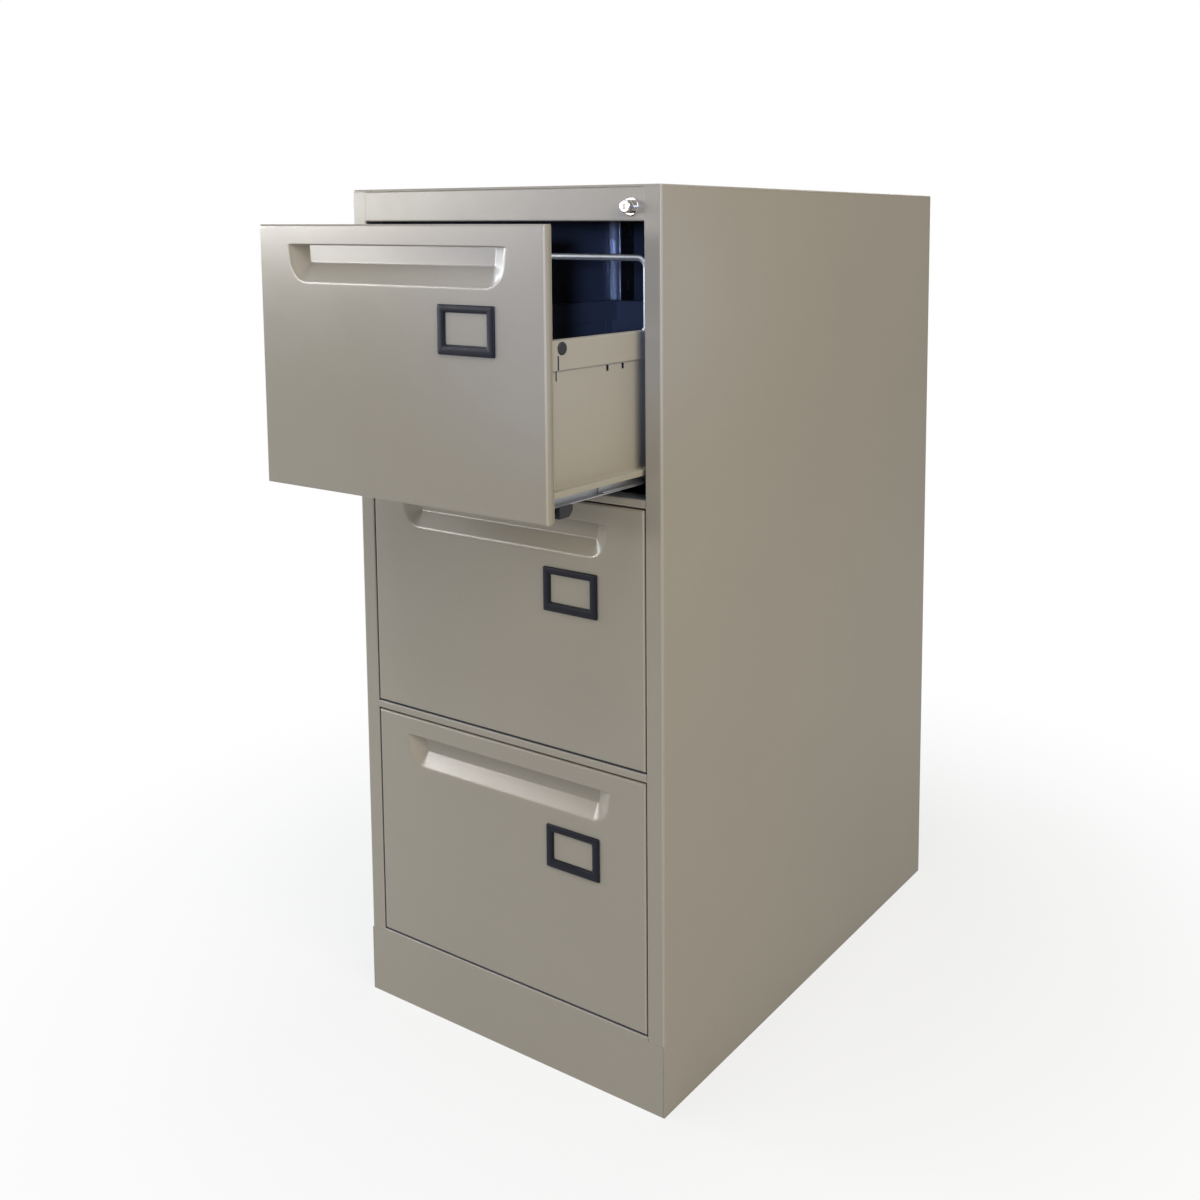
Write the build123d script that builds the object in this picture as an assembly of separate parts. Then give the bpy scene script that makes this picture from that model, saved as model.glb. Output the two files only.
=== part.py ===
"""Three-drawer vertical filing cabinet of folded steel sheet, in millimetres.

Row frame: origin on the floor at the middle of the footprint, X across the front (right hand
side positive), Y from the front to the back, Z up. While a piece is being modelled, y = 0 is the
front plane and z = 0 the floor, and save() moves it back to the middle of the footprint.
Each drawer is modelled closed, with z = 0 at the lower edge of its front. The top drawer stands
partly open, as the cabinet is shown.
"""
import os

from build123d import *

# Cabinet shell
width = 457.0
depth = 673.0
shell_sheet = 1.0
stile_width = 22.0
stile_return = 13.0
corner_radius = 3.0
fold_radius = 1.5
rear_flange = 20.0
cap_rim = 2.6
cap_inset = 0.4
cap_edge_radius = 2.0
header_height = 38.0
header_ledge = 25.0
header_lip = 8.0
rail_height = 9.0
rail_ledge = 25.0
plinth_height = 86.75
plinth_ledge = 25.0
stile_foot_drop = 4.5
panel_seam = 0.2
plinth_end_seam = 0.4
base_leg_height = 30.0
base_leg_width = 25.0
base_sheet = 1.5

# Slotted uprights inside the shell
upright_sheet = 1.2
upright_width = 33.0
upright_depth = 14.0
upright_foot = 8.0
rear_upright_from_back = 158.0
upright_slot_width = 4.0
upright_slot_height = 14.0
upright_slot_pitch = 43.0
upright_slot_first = 62.0

# Drawer fronts
drawer_names = ["bottom", "middle", "top"]
front_height = 288.0
front_gap = 2.0
top_gap = 3.25
front_sheet = 1.0
front_return = 10.0
front_edge_radius = 1.5
liner_sheet = 0.9
liner_back = 13.0
liner_overlap = 7.0
top_drawer_open = 156.0

# Pressed hand recess in each front
recess_from_edge = 49.0
recess_height = 39.0
recess_from_top = 22.0
recess_depth = 11.0
recess_wall_height = 20.0
recess_end_slope = 20.0
recess_corner_radius = 18.0
recess_back_radius = 5.0
recess_top_radius = 1.5
recess_lip = 1.6

# Label holder
label_width = 76.0
label_height = 50.5
label_thickness = 2.4
label_from_top = 79.0
label_from_edge = 101.0
label_side_border = 10.0
label_top_border = 8.0
label_bottom_border = 10.5
label_corner_radius = 2.0
label_bevel = 0.8
label_peg_diameter = 3.0
label_peg_spacing = 66.0
label_peg_length = 3.4

# Drawer body
drawer_sheet = 0.9
drawer_back_gap = 53.0
drawer_side_gap = 15.5
side_band_step = 3.0
side_band_width = 12.0
side_band_height = 30.0
side_height = 176.0
side_ledge_height = 30.0
side_ledge_width = 11.0
side_lip = 6.0
side_tab = 8.5
bottom_upturn = 12.0
bottom_bead_height = 3.0
bottom_bead_width = 16.0
bottom_bead_pitch = 110.0
back_flange = 20.0
tab_slot_from_liner = 17.5
tab_slot_width = 2.2
tab_slot_height = 25.0
tab_slot_from_top = 15.0
divider_slot_width = 4.0
divider_slot_height = 6.0
divider_slot_spacing = 26.0
divider_slot_from_end = 113.0

# Folder bar that stands across each drawer
bar_diameter = 7.0
bar_rise = 76.5
bar_y = 186.0
bar_bend = 11.0
bar_seat_depth = 20.0
bar_collar_diameter = 10.0
bar_collar_height = 1.6

# Telescoping rails
rail_sheet = 1.2
inner_rail_low = 14.5
inner_rail_end_gap = 6.0
rail_fold_clearance = 0.1
rail_front_gap = 1.0
slide_clearance = 0.4
intermediate_rail_shorter = 40.0
outer_rail_shorter = 20.0
outer_rail_front = 20.5
outer_rail_reach = 5.5
rail_arm_height = 4.8
rail_plate_height = 34.0
rail_plate_margin = 2.0

# Rubber buttons and lock catches on the drawers
button_diameter = 13.0
button_head = 1.6
button_stem_diameter = 5.0
button_y = 37.0
button_from_top = 8.0
catch_from_lug = 1.1
catch_above_lug = 0.5
catch_length = 20.0
catch_width = 12.0
catch_ramp = 6.0

# Push lock in the header
lock_from_stile = 16.5
lock_above_edge = 15.0
barrel_diameter = 17.0
barrel_collar_diameter = 20.0
barrel_collar_height = 1.6
barrel_length = 22.0
plunger_diameter = 13.5
plunger_fit = 0.05
plunger_out = 11.6
plunger_stroke = 8.0
plunger_edge = 1.0
tail_diameter = 9.0
core_diameter = 9.0
core_length = 16.0
core_proud = 0.3
keyway_height = 6.0
keyway_width = 1.7
keyway_depth = 7.0
nut_size = 23.0
nut_thickness = 3.0
drive_pin_diameter = 4.0
drive_pin_from_barrel = 8.0
drive_pin_from_tail_end = 5.0

# Lock bar behind the right stile
bar_strip_thickness = 2.5
bar_strip_width = 14.0
lock_bar_gap = 1.0
lock_bar_clearance = 0.5
lug_thickness = 2.2
lug_length = 5.2
lug_on_catch = 4.2
lug_low = 0.5
lug_foot_height = 12.0
lug_fold_radius = 2.7
bar_below_first_drawer = 4.0
pin_play = 0.15
slot_margin = 5.0
slot_top_margin = 2.0
guide_height = 12.0
guide_front_wall = 1.6
guide_side_wall = 0.6
guide_back_wall = 1.0
guide_play = 0.3
guide_above_drawer = 130.0

# Pop rivets that hold the back panel
rivet_head_diameter = 6.0
rivet_head_height = 1.2
rivet_shank_diameter = 3.2
rivet_from_end = 60.0
rivet_count = 5

# Places that follow from the sizes above
drawer_pitch = front_height + 2 * front_gap + rail_height
first_drawer_z = plinth_height + front_gap
drawer_count = len(drawer_names)
top_front_edge = first_drawer_z + (drawer_count - 1) * drawer_pitch + front_height
header_z = top_front_edge + top_gap
height = header_z + header_height
wall_top = height - cap_rim
opening_half = width / 2 - stile_width
shell_inside = width / 2 - shell_sheet
front_half = opening_half - front_gap
back_panel_y = depth - shell_sheet
front_places = [first_drawer_z + index * drawer_pitch for index in range(drawer_count)]
rivet_pitch = (wall_top - 2 * rivet_from_end) / (rivet_count - 1)
rivet_places = [rivet_from_end + index * rivet_pitch for index in range(rivet_count)]

recess_width = 2 * (front_half - recess_from_edge)
label_centre_x = front_half - label_from_edge
side_face_x = opening_half - drawer_side_gap
button_z = side_height - button_from_top
tab_slot_top = side_height - tab_slot_from_top
drawer_length = depth - drawer_back_gap
bottom_bead_places = [-bottom_bead_pitch, 0.0, bottom_bead_pitch]

rail_x = side_face_x + panel_seam
ledge_under = side_ledge_height - drawer_sheet
inner_rail_reach = side_ledge_width - panel_seam - fold_radius - rail_fold_clearance
inner_rail_front = liner_back + rail_front_gap
inner_rail_length = drawer_length - inner_rail_end_gap - inner_rail_front
intermediate_rail_front = inner_rail_front + rail_front_gap
intermediate_rail_length = inner_rail_length - intermediate_rail_shorter
outer_rail_length = inner_rail_length - outer_rail_shorter

upright_face_x = shell_inside - upright_depth
lock_x = opening_half - lock_from_stile
lock_z = header_z + lock_above_edge
lock_bar_x = opening_half + shell_sheet + lock_bar_gap
lock_bar_y = stile_return + lock_bar_clearance
front_upright_y = (lock_bar_y + bar_strip_width + guide_play + guide_back_wall
                   + upright_sheet)
rear_upright_y = depth - rear_upright_from_back
lug_reach = lock_bar_x - rail_x - catch_width + lug_on_catch
catch_y = lock_bar_y + panel_seam + lug_length + catch_from_lug
catch_low = lug_low + lug_thickness + catch_above_lug
drive_pin_y = barrel_length + drive_pin_from_barrel
tail_end = drive_pin_y + drive_pin_from_tail_end

# Turn from the direction of a fold line to its material, in degrees
left_of_line = 90
right_of_line = -90

os.makedirs("parts", exist_ok=True)


def save(name, shape):
    """Write one sub-part, moved from the front plane to the middle of the footprint."""
    export_step(Pos(0, -depth / 2, 0) * shape, f"parts/{name}.step")


def box(x0, x1, y0, y1, z0, z1):
    """Plain block between two opposite corners."""
    middle = Pos((x0 + x1) / 2, (y0 + y1) / 2, (z0 + z1) / 2)
    return middle * Box(abs(x1 - x0), abs(y1 - y0), abs(z1 - z0))


def rod(diameter, start, end):
    """Round bar between two points."""
    line = Line(start, end)
    plane = Plane(origin=start, z_dir=line % 0)
    return extrude(plane * Circle(diameter / 2), line.length)


def folded(points, radii, thickness, turn, plane, length):
    """Sheet folded along a line of points and extruded, its material left or right of the line."""
    line = FilletPolyline(*points, radius=radii)
    probe = line @ 0.01 + (line % 0.01).rotate(Axis.Z, turn) * thickness / 2
    sections = [make_face(offset(line, thickness, side=side).edges()).face()
                for side in (Side.LEFT, Side.RIGHT)]
    section = [face for face in sections if face.is_inside(probe)][0]
    return extrude(plane * section, length)


def both_sides(shape):
    """A right-hand piece and its mirror image on the left, as separate solids."""
    return Compound(children=[shape, mirror(shape, about=Plane.YZ)])


def plan_plane(z):
    """Drawing plane for a section seen from above, extruded upwards."""
    return Plane(origin=(0, 0, z), x_dir=(1, 0, 0), z_dir=(0, 0, 1))


def front_plane(y):
    """Drawing plane for a section across the cabinet (x, z), extruded towards the back."""
    return Plane(origin=(0, y, 0), x_dir=(-1, 0, 0), z_dir=(0, 1, 0))


def side_plane(x):
    """Drawing plane for a section seen from the side (y, z), extruded towards +X."""
    return Plane(origin=(x, 0, 0), x_dir=(0, 1, 0), z_dir=(1, 0, 0))


def across(points):
    """Points (x, z) as they are written on a front plane, whose own x runs to the left."""
    return [(-x, z) for x, z in points]


# Cabinet shell


def side_panel():
    """Right side: front stile with its return, rounded corner, wall and rear flange."""
    half = width / 2
    foot = plinth_height - stile_foot_drop
    wall = [(half, depth), (half - rear_flange, depth)]
    stile = [(opening_half, stile_return), (opening_half, 0), (half, 0)]
    main = folded(stile + wall, [fold_radius, corner_radius, fold_radius], shell_sheet,
                  left_of_line, plan_plane(foot + panel_seam), header_z - foot - panel_seam)
    beside_header = folded([(opening_half, 0), (half, 0)] + wall, [corner_radius, fold_radius],
                           shell_sheet, left_of_line, plan_plane(header_z), wall_top - header_z)
    beside_plinth = folded([(half, 0)] + wall, [fold_radius], shell_sheet,
                           left_of_line, plan_plane(0), foot + panel_seam)
    top_flange = box(upright_face_x + upright_sheet, half - shell_sheet / 2, corner_radius,
                     back_panel_y - shell_sheet, wall_top - shell_sheet, wall_top)
    panel = main + beside_header + beside_plinth + top_flange
    return panel - rivet_shanks(rivet_shank_diameter + 2 * plunger_fit)


def top_cap():
    """Shallow lid with a turned-down rim that closes the shell from above."""
    half = width / 2 - cap_inset
    cap = box(-half, half, cap_inset, depth - cap_inset, wall_top, height)
    upright_edges = cap.edges().filter_by(Axis.Z).group_by(Axis.Y)[0]
    cap = fillet(upright_edges, corner_radius)
    cap = fillet(cap.faces().sort_by(Axis.Z)[-1].edges(), cap_edge_radius)
    return offset(cap, -shell_sheet, openings=cap.faces().sort_by(Axis.Z)[0])


def header():
    """Front header: face, ledge under the cap, folded lower ledge and the hole for the lock."""
    line = [(header_ledge, wall_top), (0, wall_top), (0, header_z), (header_ledge, header_z),
            (header_ledge, header_z + header_lip)]
    rail = folded(line, [fold_radius] * 3, shell_sheet, left_of_line,
                  side_plane(-opening_half), 2 * opening_half)
    hole = rod(barrel_diameter + 2 * plunger_fit, (lock_x, -1, lock_z),
               (lock_x, shell_sheet + 1, lock_z))
    return rail - hole


def cross_rail(z):
    """Folded rail between two drawers, open towards the back."""
    line = [(rail_ledge, z + rail_height), (0, z + rail_height), (0, z), (rail_ledge, z)]
    return folded(line, [fold_radius] * 2, shell_sheet, left_of_line,
                  side_plane(-opening_half), 2 * opening_half)


def plinth():
    """Foot panel between the side panels: its ends are lower, under the feet of the stiles."""
    end = shell_inside - plinth_end_seam
    line = [(plinth_ledge, plinth_height), (0, plinth_height), (0, 0)]
    panel = folded(line, [fold_radius], shell_sheet, left_of_line, side_plane(-end), 2 * end)
    foot = plinth_height - stile_foot_drop
    notch = box(opening_half, width, -1, plinth_ledge + 1, foot, plinth_height + 1)
    return panel - notch - mirror(notch, about=Plane.YZ)


def base_frame():
    """Welded ring of steel angle on the floor, inside the foot of the shell."""
    inside = shell_inside - base_sheet
    front = shell_sheet
    window = base_leg_width
    ring = box(-shell_inside, shell_inside, front, back_panel_y - shell_sheet, 0,
               base_leg_height)
    ring -= box(-inside, inside, front + base_sheet, back_panel_y - shell_sheet - base_sheet,
                base_sheet, base_leg_height + 1)
    return ring - box(window - shell_inside, shell_inside - window, front + window,
                      back_panel_y - shell_sheet - window, -1, base_sheet + 1)


def back_panel():
    """Flat back sheet, held inside the rear flanges, with its rivet holes."""
    edge = shell_inside - fold_radius
    panel = box(-edge, edge, back_panel_y - shell_sheet, back_panel_y, panel_seam,
                wall_top - panel_seam)
    return panel - rivet_shanks(rivet_shank_diameter + 2 * plunger_fit)


def rivet_shanks(diameter):
    """Shanks through the rear flanges and the back panel, one for each rivet."""
    x = width / 2 - rear_flange / 2
    shanks = [rod(diameter, (side * x, back_panel_y - 2 * shell_sheet, z),
                  (side * x, depth + 1, z))
              for side in (-1, 1) for z in rivet_places]
    return Compound(children=shanks)


def back_rivets():
    """Pop rivets with domed heads behind the rear flanges."""
    x = width / 2 - rear_flange / 2
    rivets = []
    for side in (-1, 1):
        for z in rivet_places:
            shank = rod(rivet_shank_diameter, (side * x, back_panel_y - shell_sheet, z),
                        (side * x, depth, z))
            head = rod(rivet_head_diameter, (side * x, depth, z),
                       (side * x, depth + rivet_head_height, z))
            rim = head.edges().filter_by(GeomType.CIRCLE).sort_by(Axis.Y)[-1]
            rivets.append(shank + fillet(rim, rivet_head_height * 0.8))
    return Compound(children=rivets)


def upright(y):
    """Right-hand slotted upright: a hat channel on the side wall that carries the rails."""
    x = shell_inside
    face = upright_face_x
    line = [(x, y - upright_foot), (x, y), (face, y), (face, y + upright_width),
            (x, y + upright_width), (x, y + upright_width + upright_foot)]
    top = wall_top - shell_sheet
    post = folded(line, [0.6, fold_radius, fold_radius, 0.6], upright_sheet, left_of_line,
                  plan_plane(base_leg_height), top - base_leg_height)
    centre = y + upright_width / 2
    count = int((top - upright_slot_first) // upright_slot_pitch)
    for index in range(count):
        z = upright_slot_first + index * upright_slot_pitch
        post -= box(face - 2 * upright_sheet, face + 1, centre - upright_slot_width / 2,
                    centre + upright_slot_width / 2, z, z + upright_slot_height)
    return post


# Drawers, each with z = 0 at the lower edge of its front


def recess_section(y, grow, share):
    """Outline of the hand recess at depth y: share 0 is the rim and 1 the back wall."""
    top = front_height - recess_from_top + grow * 0.5
    bottom = top - recess_height + share * (recess_height - recess_wall_height) - grow * 1.5
    half = recess_width / 2 - share * recess_end_slope + grow
    low_radius = recess_corner_radius + share * (recess_back_radius - recess_corner_radius)
    plane = Plane(origin=(0, y, 0), x_dir=(1, 0, 0), z_dir=(0, -1, 0))
    outline = Pos(0, (top + bottom) / 2) * Rectangle(2 * half, top - bottom)
    corners = outline.vertices().sort_by(Axis.Y)
    outline = fillet(corners[:2], low_radius)
    outline = fillet(outline.vertices().group_by(Axis.Y)[-1], recess_top_radius)
    return plane * outline


def drawer_front():
    """Front skin: folded edges, pressed hand recess and the holes for the label holder."""
    skin = box(-front_half, front_half, 0, front_return, 0, front_height)
    edges = skin.faces().sort_by(Axis.Y)[0].edges()
    skin = fillet(edges, front_edge_radius)
    skin = offset(skin, -front_sheet, openings=skin.faces().sort_by(Axis.Y)[-1])
    rim_depth = recess_lip
    share = rim_depth / recess_depth
    wall = front_sheet
    pan = loft([recess_section(front_sheet / 2, wall + recess_lip, 0),
                recess_section(rim_depth + wall, wall, share),
                recess_section(recess_depth + wall, wall, 1)], ruled=True)
    pocket = loft([recess_section(0, recess_lip, 0), recess_section(rim_depth, 0, share),
                   recess_section(recess_depth, 0, 1)], ruled=True)
    return skin + pan - pocket - label_pegs(label_peg_diameter + 4 * plunger_fit)


def front_liner():
    """Inner tray that closes the front from behind and carries the drawer body."""
    edge = front_sheet + panel_seam
    tray = box(edge - front_half, front_half - edge, liner_back - liner_overlap, liner_back,
               edge, front_height - edge)
    upright_edges = tray.faces().sort_by(Axis.Y)[-1].edges()
    tray = fillet(upright_edges, fold_radius)
    return offset(tray, -liner_sheet, openings=tray.faces().sort_by(Axis.Y)[0])


def label_pegs(diameter):
    """Two pegs behind the label holder, or the holes that they go through."""
    z = front_height - label_from_top - label_height + label_bottom_border / 2
    pegs = [rod(diameter, (label_centre_x + side * label_peg_spacing / 2, -label_bevel, z),
                (label_centre_x + side * label_peg_spacing / 2, label_peg_length, z))
            for side in (-1, 1)]
    return Compound(children=pegs)


def label_holder():
    """Moulded frame with a bevelled face and an open window, pegged to the front."""
    top = front_height - label_from_top
    low = top - label_height
    plane = Plane(origin=(label_centre_x, 0, 0), x_dir=(1, 0, 0), z_dir=(0, -1, 0))
    frame = Pos(0, (top + low) / 2) * RectangleRounded(label_width, label_height,
                                                       label_corner_radius)
    window_low = low + label_bottom_border
    window_top = top - label_top_border
    window = Pos(0, (window_low + window_top) / 2) * Rectangle(
        label_width - 2 * label_side_border, window_top - window_low)
    body = extrude(plane * (frame - window), label_thickness)
    body = chamfer(body.faces().sort_by(Axis.Y)[0].edges(), label_bevel)
    return body + label_pegs(label_peg_diameter)


def drawer_side():
    """Right side of the drawer body: boxed top band, low wall, and the ledge over the rail."""
    step_x = side_face_x + side_band_step
    band_low = side_height - side_band_height
    inner_x = step_x - side_band_width
    ledge_x = side_face_x + side_ledge_width
    lip_low = side_ledge_height - side_lip
    line = [(inner_x, band_low + 1), (inner_x, side_height), (step_x, side_height),
            (step_x, band_low), (side_face_x, band_low), (side_face_x, side_ledge_height),
            (ledge_x, side_ledge_height), (ledge_x, lip_low)]
    end = drawer_length - drawer_sheet
    side = folded(across(line), [fold_radius, fold_radius, fold_radius, 0.6, 0.6, fold_radius],
                  drawer_sheet, left_of_line, front_plane(liner_back), end - liner_back)
    side += box(side_face_x - side_tab, side_face_x - drawer_sheet / 2, liner_back,
                liner_back + drawer_sheet, side_ledge_height + bottom_upturn + 1, band_low)
    slot_front = liner_back + tab_slot_from_liner
    side -= box(side_face_x - 2, step_x + 1, slot_front, slot_front + tab_slot_width,
                tab_slot_top - tab_slot_height, tab_slot_top)
    for end_y in (divider_slot_from_end, drawer_length - divider_slot_from_end):
        for offset_y in (0, divider_slot_spacing):
            y = end_y + (offset_y if end_y < drawer_length / 2 else -offset_y)
            side -= box(side_face_x - 2 * drawer_sheet, side_face_x + 1,
                        y - divider_slot_width / 2, y + divider_slot_width / 2,
                        band_low - 1 - divider_slot_height, band_low - 1)
    side -= rod(button_stem_diameter + 4 * plunger_fit,
                (step_x - 2 * drawer_sheet, button_y, button_z),
                (step_x + 1, button_y, button_z))
    return side - rod(bar_diameter + 4 * plunger_fit,
                      (bar_leg_x(), bar_y, side_height - 2 * drawer_sheet),
                      (bar_leg_x(), bar_y, side_height + 1))


def drawer_bottom():
    """Tray floor with upturned edges and three pressed beads along its length."""
    edge = side_face_x - drawer_sheet
    low = side_ledge_height
    line = [(-edge, low + bottom_upturn), (-edge, low)]
    radii = [fold_radius]
    for x in bottom_bead_places:
        half = bottom_bead_width / 2
        line += [(x - half, low), (x - half / 2, low + bottom_bead_height),
                 (x + half / 2, low + bottom_bead_height), (x + half, low)]
        radii += [1.5] * 4
    line += [(edge, low), (edge, low + bottom_upturn)]
    radii.append(fold_radius)
    return folded(across(line), radii, drawer_sheet, right_of_line, front_plane(liner_back),
                  drawer_length - drawer_sheet - liner_back)


def drawer_back():
    """Low back wall with side flanges inside the drawer sides and a folded top edge."""
    edge = side_face_x - drawer_sheet - panel_seam
    end = drawer_length
    floor = side_ledge_height + drawer_sheet + bottom_bead_height
    above_upturn = side_ledge_height + bottom_upturn + 1
    line = [(-edge, end - back_flange), (-edge, end), (edge, end), (edge, end - back_flange)]
    wall = folded(line, [fold_radius] * 2, drawer_sheet, right_of_line, plan_plane(above_upturn),
                  side_height - side_band_height - above_upturn)
    inner = side_face_x + side_band_step - side_band_width
    wall += box(-inner, inner, end - drawer_sheet, end, floor, side_height)
    wall += box(-edge, edge, end - drawer_sheet, end, side_height - side_band_height,
                side_height)
    return wall + box(-inner, inner, end - back_flange / 2, end, side_height - drawer_sheet,
                      side_height)


def bar_leg_x():
    """Place of the folder bar's leg, in the middle of the boxed band."""
    return side_face_x + side_band_step - side_band_width / 2


def folder_bar():
    """Bent steel rod across the drawer, its legs seated in the boxed bands of the sides."""
    x = bar_leg_x()
    low = side_height - bar_seat_depth
    high = side_height + bar_rise
    points = [(-x, bar_y, low), (-x, bar_y, high), (x, bar_y, high), (x, bar_y, low)]
    path = FilletPolyline(*points, radius=bar_bend)
    start = Plane(origin=points[0], z_dir=(0, 0, 1))
    bar = sweep(start * Circle(bar_diameter / 2), path=path)
    for side in (-1, 1):
        bar += rod(bar_collar_diameter, (side * x, bar_y, side_height),
                   (side * x, bar_y, side_height + bar_collar_height))
    return bar


def channel(x_web, reach, low, high, sheet, start, length):
    """Straight rail of C section: an upright web and two flanges that reach sideways."""
    tip = x_web + reach
    line = [(tip, low), (x_web, low), (x_web, high), (tip, high)]
    inward = right_of_line if reach < 0 else left_of_line
    return folded(across(line), [sheet + 0.3] * 2, sheet, inward, front_plane(start), length)


def inner_rail():
    """Drawer member of the slide, fixed under the ledge of the drawer side."""
    return channel(rail_x, inner_rail_reach, inner_rail_low, ledge_under, rail_sheet,
                   inner_rail_front, inner_rail_length)


def intermediate_rail():
    """Middle member of the slide, nested in the drawer member."""
    nest = rail_sheet + slide_clearance
    return channel(rail_x + nest, inner_rail_reach - nest - slide_clearance,
                   inner_rail_low + nest, ledge_under - nest, rail_sheet,
                   intermediate_rail_front, intermediate_rail_length)


def outer_rail():
    """Cabinet member of the slide, with the two arms that hang it on the uprights."""
    nest = 2 * (rail_sheet + slide_clearance)
    low = inner_rail_low + nest
    high = ledge_under - nest
    web_x = rail_x + nest + outer_rail_reach
    rail = channel(web_x, -outer_rail_reach, low, high, rail_sheet, outer_rail_front,
                   outer_rail_length)
    face = upright_face_x - upright_sheet
    middle = (low + side_ledge_height - side_lip - slide_clearance) / 2
    for y in (front_upright_y, rear_upright_y):
        near = y + rail_plate_margin
        far = y + upright_width - rail_plate_margin
        rail += box(web_x - rail_sheet / 2, face, near, far, middle - rail_arm_height / 2,
                    middle + rail_arm_height / 2)
        rail += box(face - rail_sheet, face, near, far, middle - rail_plate_height / 2,
                    middle + rail_plate_height / 2)
    return rail


def rubber_button():
    """Rubber bump stop pushed into the band of the drawer side."""
    face = side_face_x + side_band_step
    head = rod(button_diameter, (face, button_y, button_z), (face + button_head, button_y,
                                                             button_z))
    rim = head.edges().filter_by(GeomType.CIRCLE).sort_by(Axis.X)[-1]
    head = fillet(rim, button_head * 0.7)
    return head + rod(button_stem_diameter, (face - 3 * drawer_sheet, button_y, button_z),
                      (face, button_y, button_z))


def lock_catch():
    """Catch under the right-hand rail that the lock bar's lug stands in front of."""
    top = inner_rail_low
    y0 = catch_y
    y1 = catch_y + catch_length
    outline = Polyline((y0, catch_low), (y1 - catch_ramp, catch_low), (y1, catch_low + catch_ramp),
                       (y1, top), (y0, top), close=True)
    return extrude(side_plane(rail_x) * make_face(outline), catch_width)


# Lock in the header and the bar that it lifts


def lock_barrel():
    """Fixed sleeve of the lock, with its collar on the header's face."""
    sleeve = rod(barrel_diameter, (lock_x, 0, lock_z), (lock_x, barrel_length, lock_z))
    collar = rod(barrel_collar_diameter, (lock_x, -barrel_collar_height, lock_z),
                 (lock_x, 0, lock_z))
    rim = collar.edges().filter_by(GeomType.CIRCLE).sort_by(Axis.Y)[0]
    collar = fillet(rim, barrel_collar_height * 0.6)
    bore = rod(plunger_diameter + 2 * plunger_fit, (lock_x, -plunger_out, lock_z),
               (lock_x, barrel_length + 1, lock_z))
    return sleeve + collar - bore


def lock_nut():
    """Hexagon nut that holds the barrel from behind the header."""
    plane = Plane(origin=(lock_x, shell_sheet, lock_z), x_dir=(1, 0, 0), z_dir=(0, 1, 0))
    nut = extrude(plane * RegularPolygon(nut_size / 2, 6), nut_thickness)
    return nut - rod(barrel_diameter + 2 * plunger_fit, (lock_x, 0, lock_z),
                     (lock_x, shell_sheet + nut_thickness + 1, lock_z))


def lock_plunger():
    """Push-in cylinder of the lock, with its tail and the pin that drives the bar."""
    front = -plunger_out
    body = rod(plunger_diameter, (lock_x, front, lock_z), (lock_x, barrel_length, lock_z))
    rim = body.edges().filter_by(GeomType.CIRCLE).sort_by(Axis.Y)[0]
    body = fillet(rim, plunger_edge)
    body += rod(tail_diameter, (lock_x, barrel_length, lock_z), (lock_x, tail_end, lock_z))
    pin_end = upright_face_x - upright_sheet - 2 * panel_seam
    body += rod(drive_pin_diameter, (lock_x, drive_pin_y, lock_z),
                (pin_end, drive_pin_y, lock_z))
    return body - rod(core_diameter + 2 * plunger_fit, (lock_x, front - 1, lock_z),
                      (lock_x, front + core_length, lock_z))


def lock_core():
    """Turning plug with its keyway."""
    front = -plunger_out - core_proud
    core = rod(core_diameter, (lock_x, front, lock_z),
               (lock_x, front + core_length - plunger_fit, lock_z))
    half = keyway_width / 2
    return core - box(lock_x - half, lock_x + half, front - 1, front + keyway_depth,
                      lock_z - keyway_height / 2, lock_z + keyway_height / 2)


def lock_bar():
    """Upright steel strip with the slanted slot at its head."""
    x0 = lock_bar_x
    x1 = x0 + bar_strip_thickness
    y0 = lock_bar_y
    slot_radius = drive_pin_diameter / 2 + pin_play
    head_back = drive_pin_y + plunger_stroke + slot_radius + slot_margin
    head_low = lock_z - plunger_stroke - slot_radius - slot_margin
    head_top = lock_z + slot_radius + slot_top_margin
    bar = box(x0, x1, y0, y0 + bar_strip_width, first_drawer_z - bar_below_first_drawer,
              head_top)
    bar += box(x0, x1, y0, head_back, head_low, head_top)
    start = (drive_pin_y, lock_z)
    finish = (drive_pin_y + plunger_stroke, lock_z - plunger_stroke)
    slot = SlotCenterToCenter((2 * plunger_stroke ** 2) ** 0.5, 2 * slot_radius)
    centre = Pos((start[0] + finish[0]) / 2, (start[1] + finish[1]) / 2) * Rot(0, 0, -45)
    return bar - extrude(side_plane(x0 - 1) * (centre * slot), bar_strip_thickness + 2)


def lock_bar_lugs():
    """Folded lugs welded to the lock bar, one for each drawer."""
    start = lock_bar_y + panel_seam
    lugs = []
    for place in front_places:
        low = place + lug_low
        line = [(lock_bar_x - lug_reach, low), (lock_bar_x, low),
                (lock_bar_x, low + lug_foot_height)]
        lugs.append(folded(across(line), [lug_fold_radius], lug_thickness, right_of_line,
                           front_plane(start), lug_length))
    return Compound(children=lugs)


def lock_bar_guides():
    """Small loops on the front upright that keep the lock bar in its path."""
    x0 = lock_bar_x - guide_play
    x1 = lock_bar_x + bar_strip_thickness + guide_play
    y0 = lock_bar_y - guide_play
    y1 = lock_bar_y + bar_strip_width + guide_play
    wall_y = front_upright_y - upright_sheet
    guides = []
    for z in [place + guide_above_drawer for place in front_places]:
        guide = box(x0 - guide_side_wall, upright_face_x + upright_foot, y0 - guide_front_wall,
                    wall_y, z, z + guide_height)
        guides.append(guide - box(x0, x1, y0, y1, z - 1, z + guide_height + 1))
    return Compound(children=guides)


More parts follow.
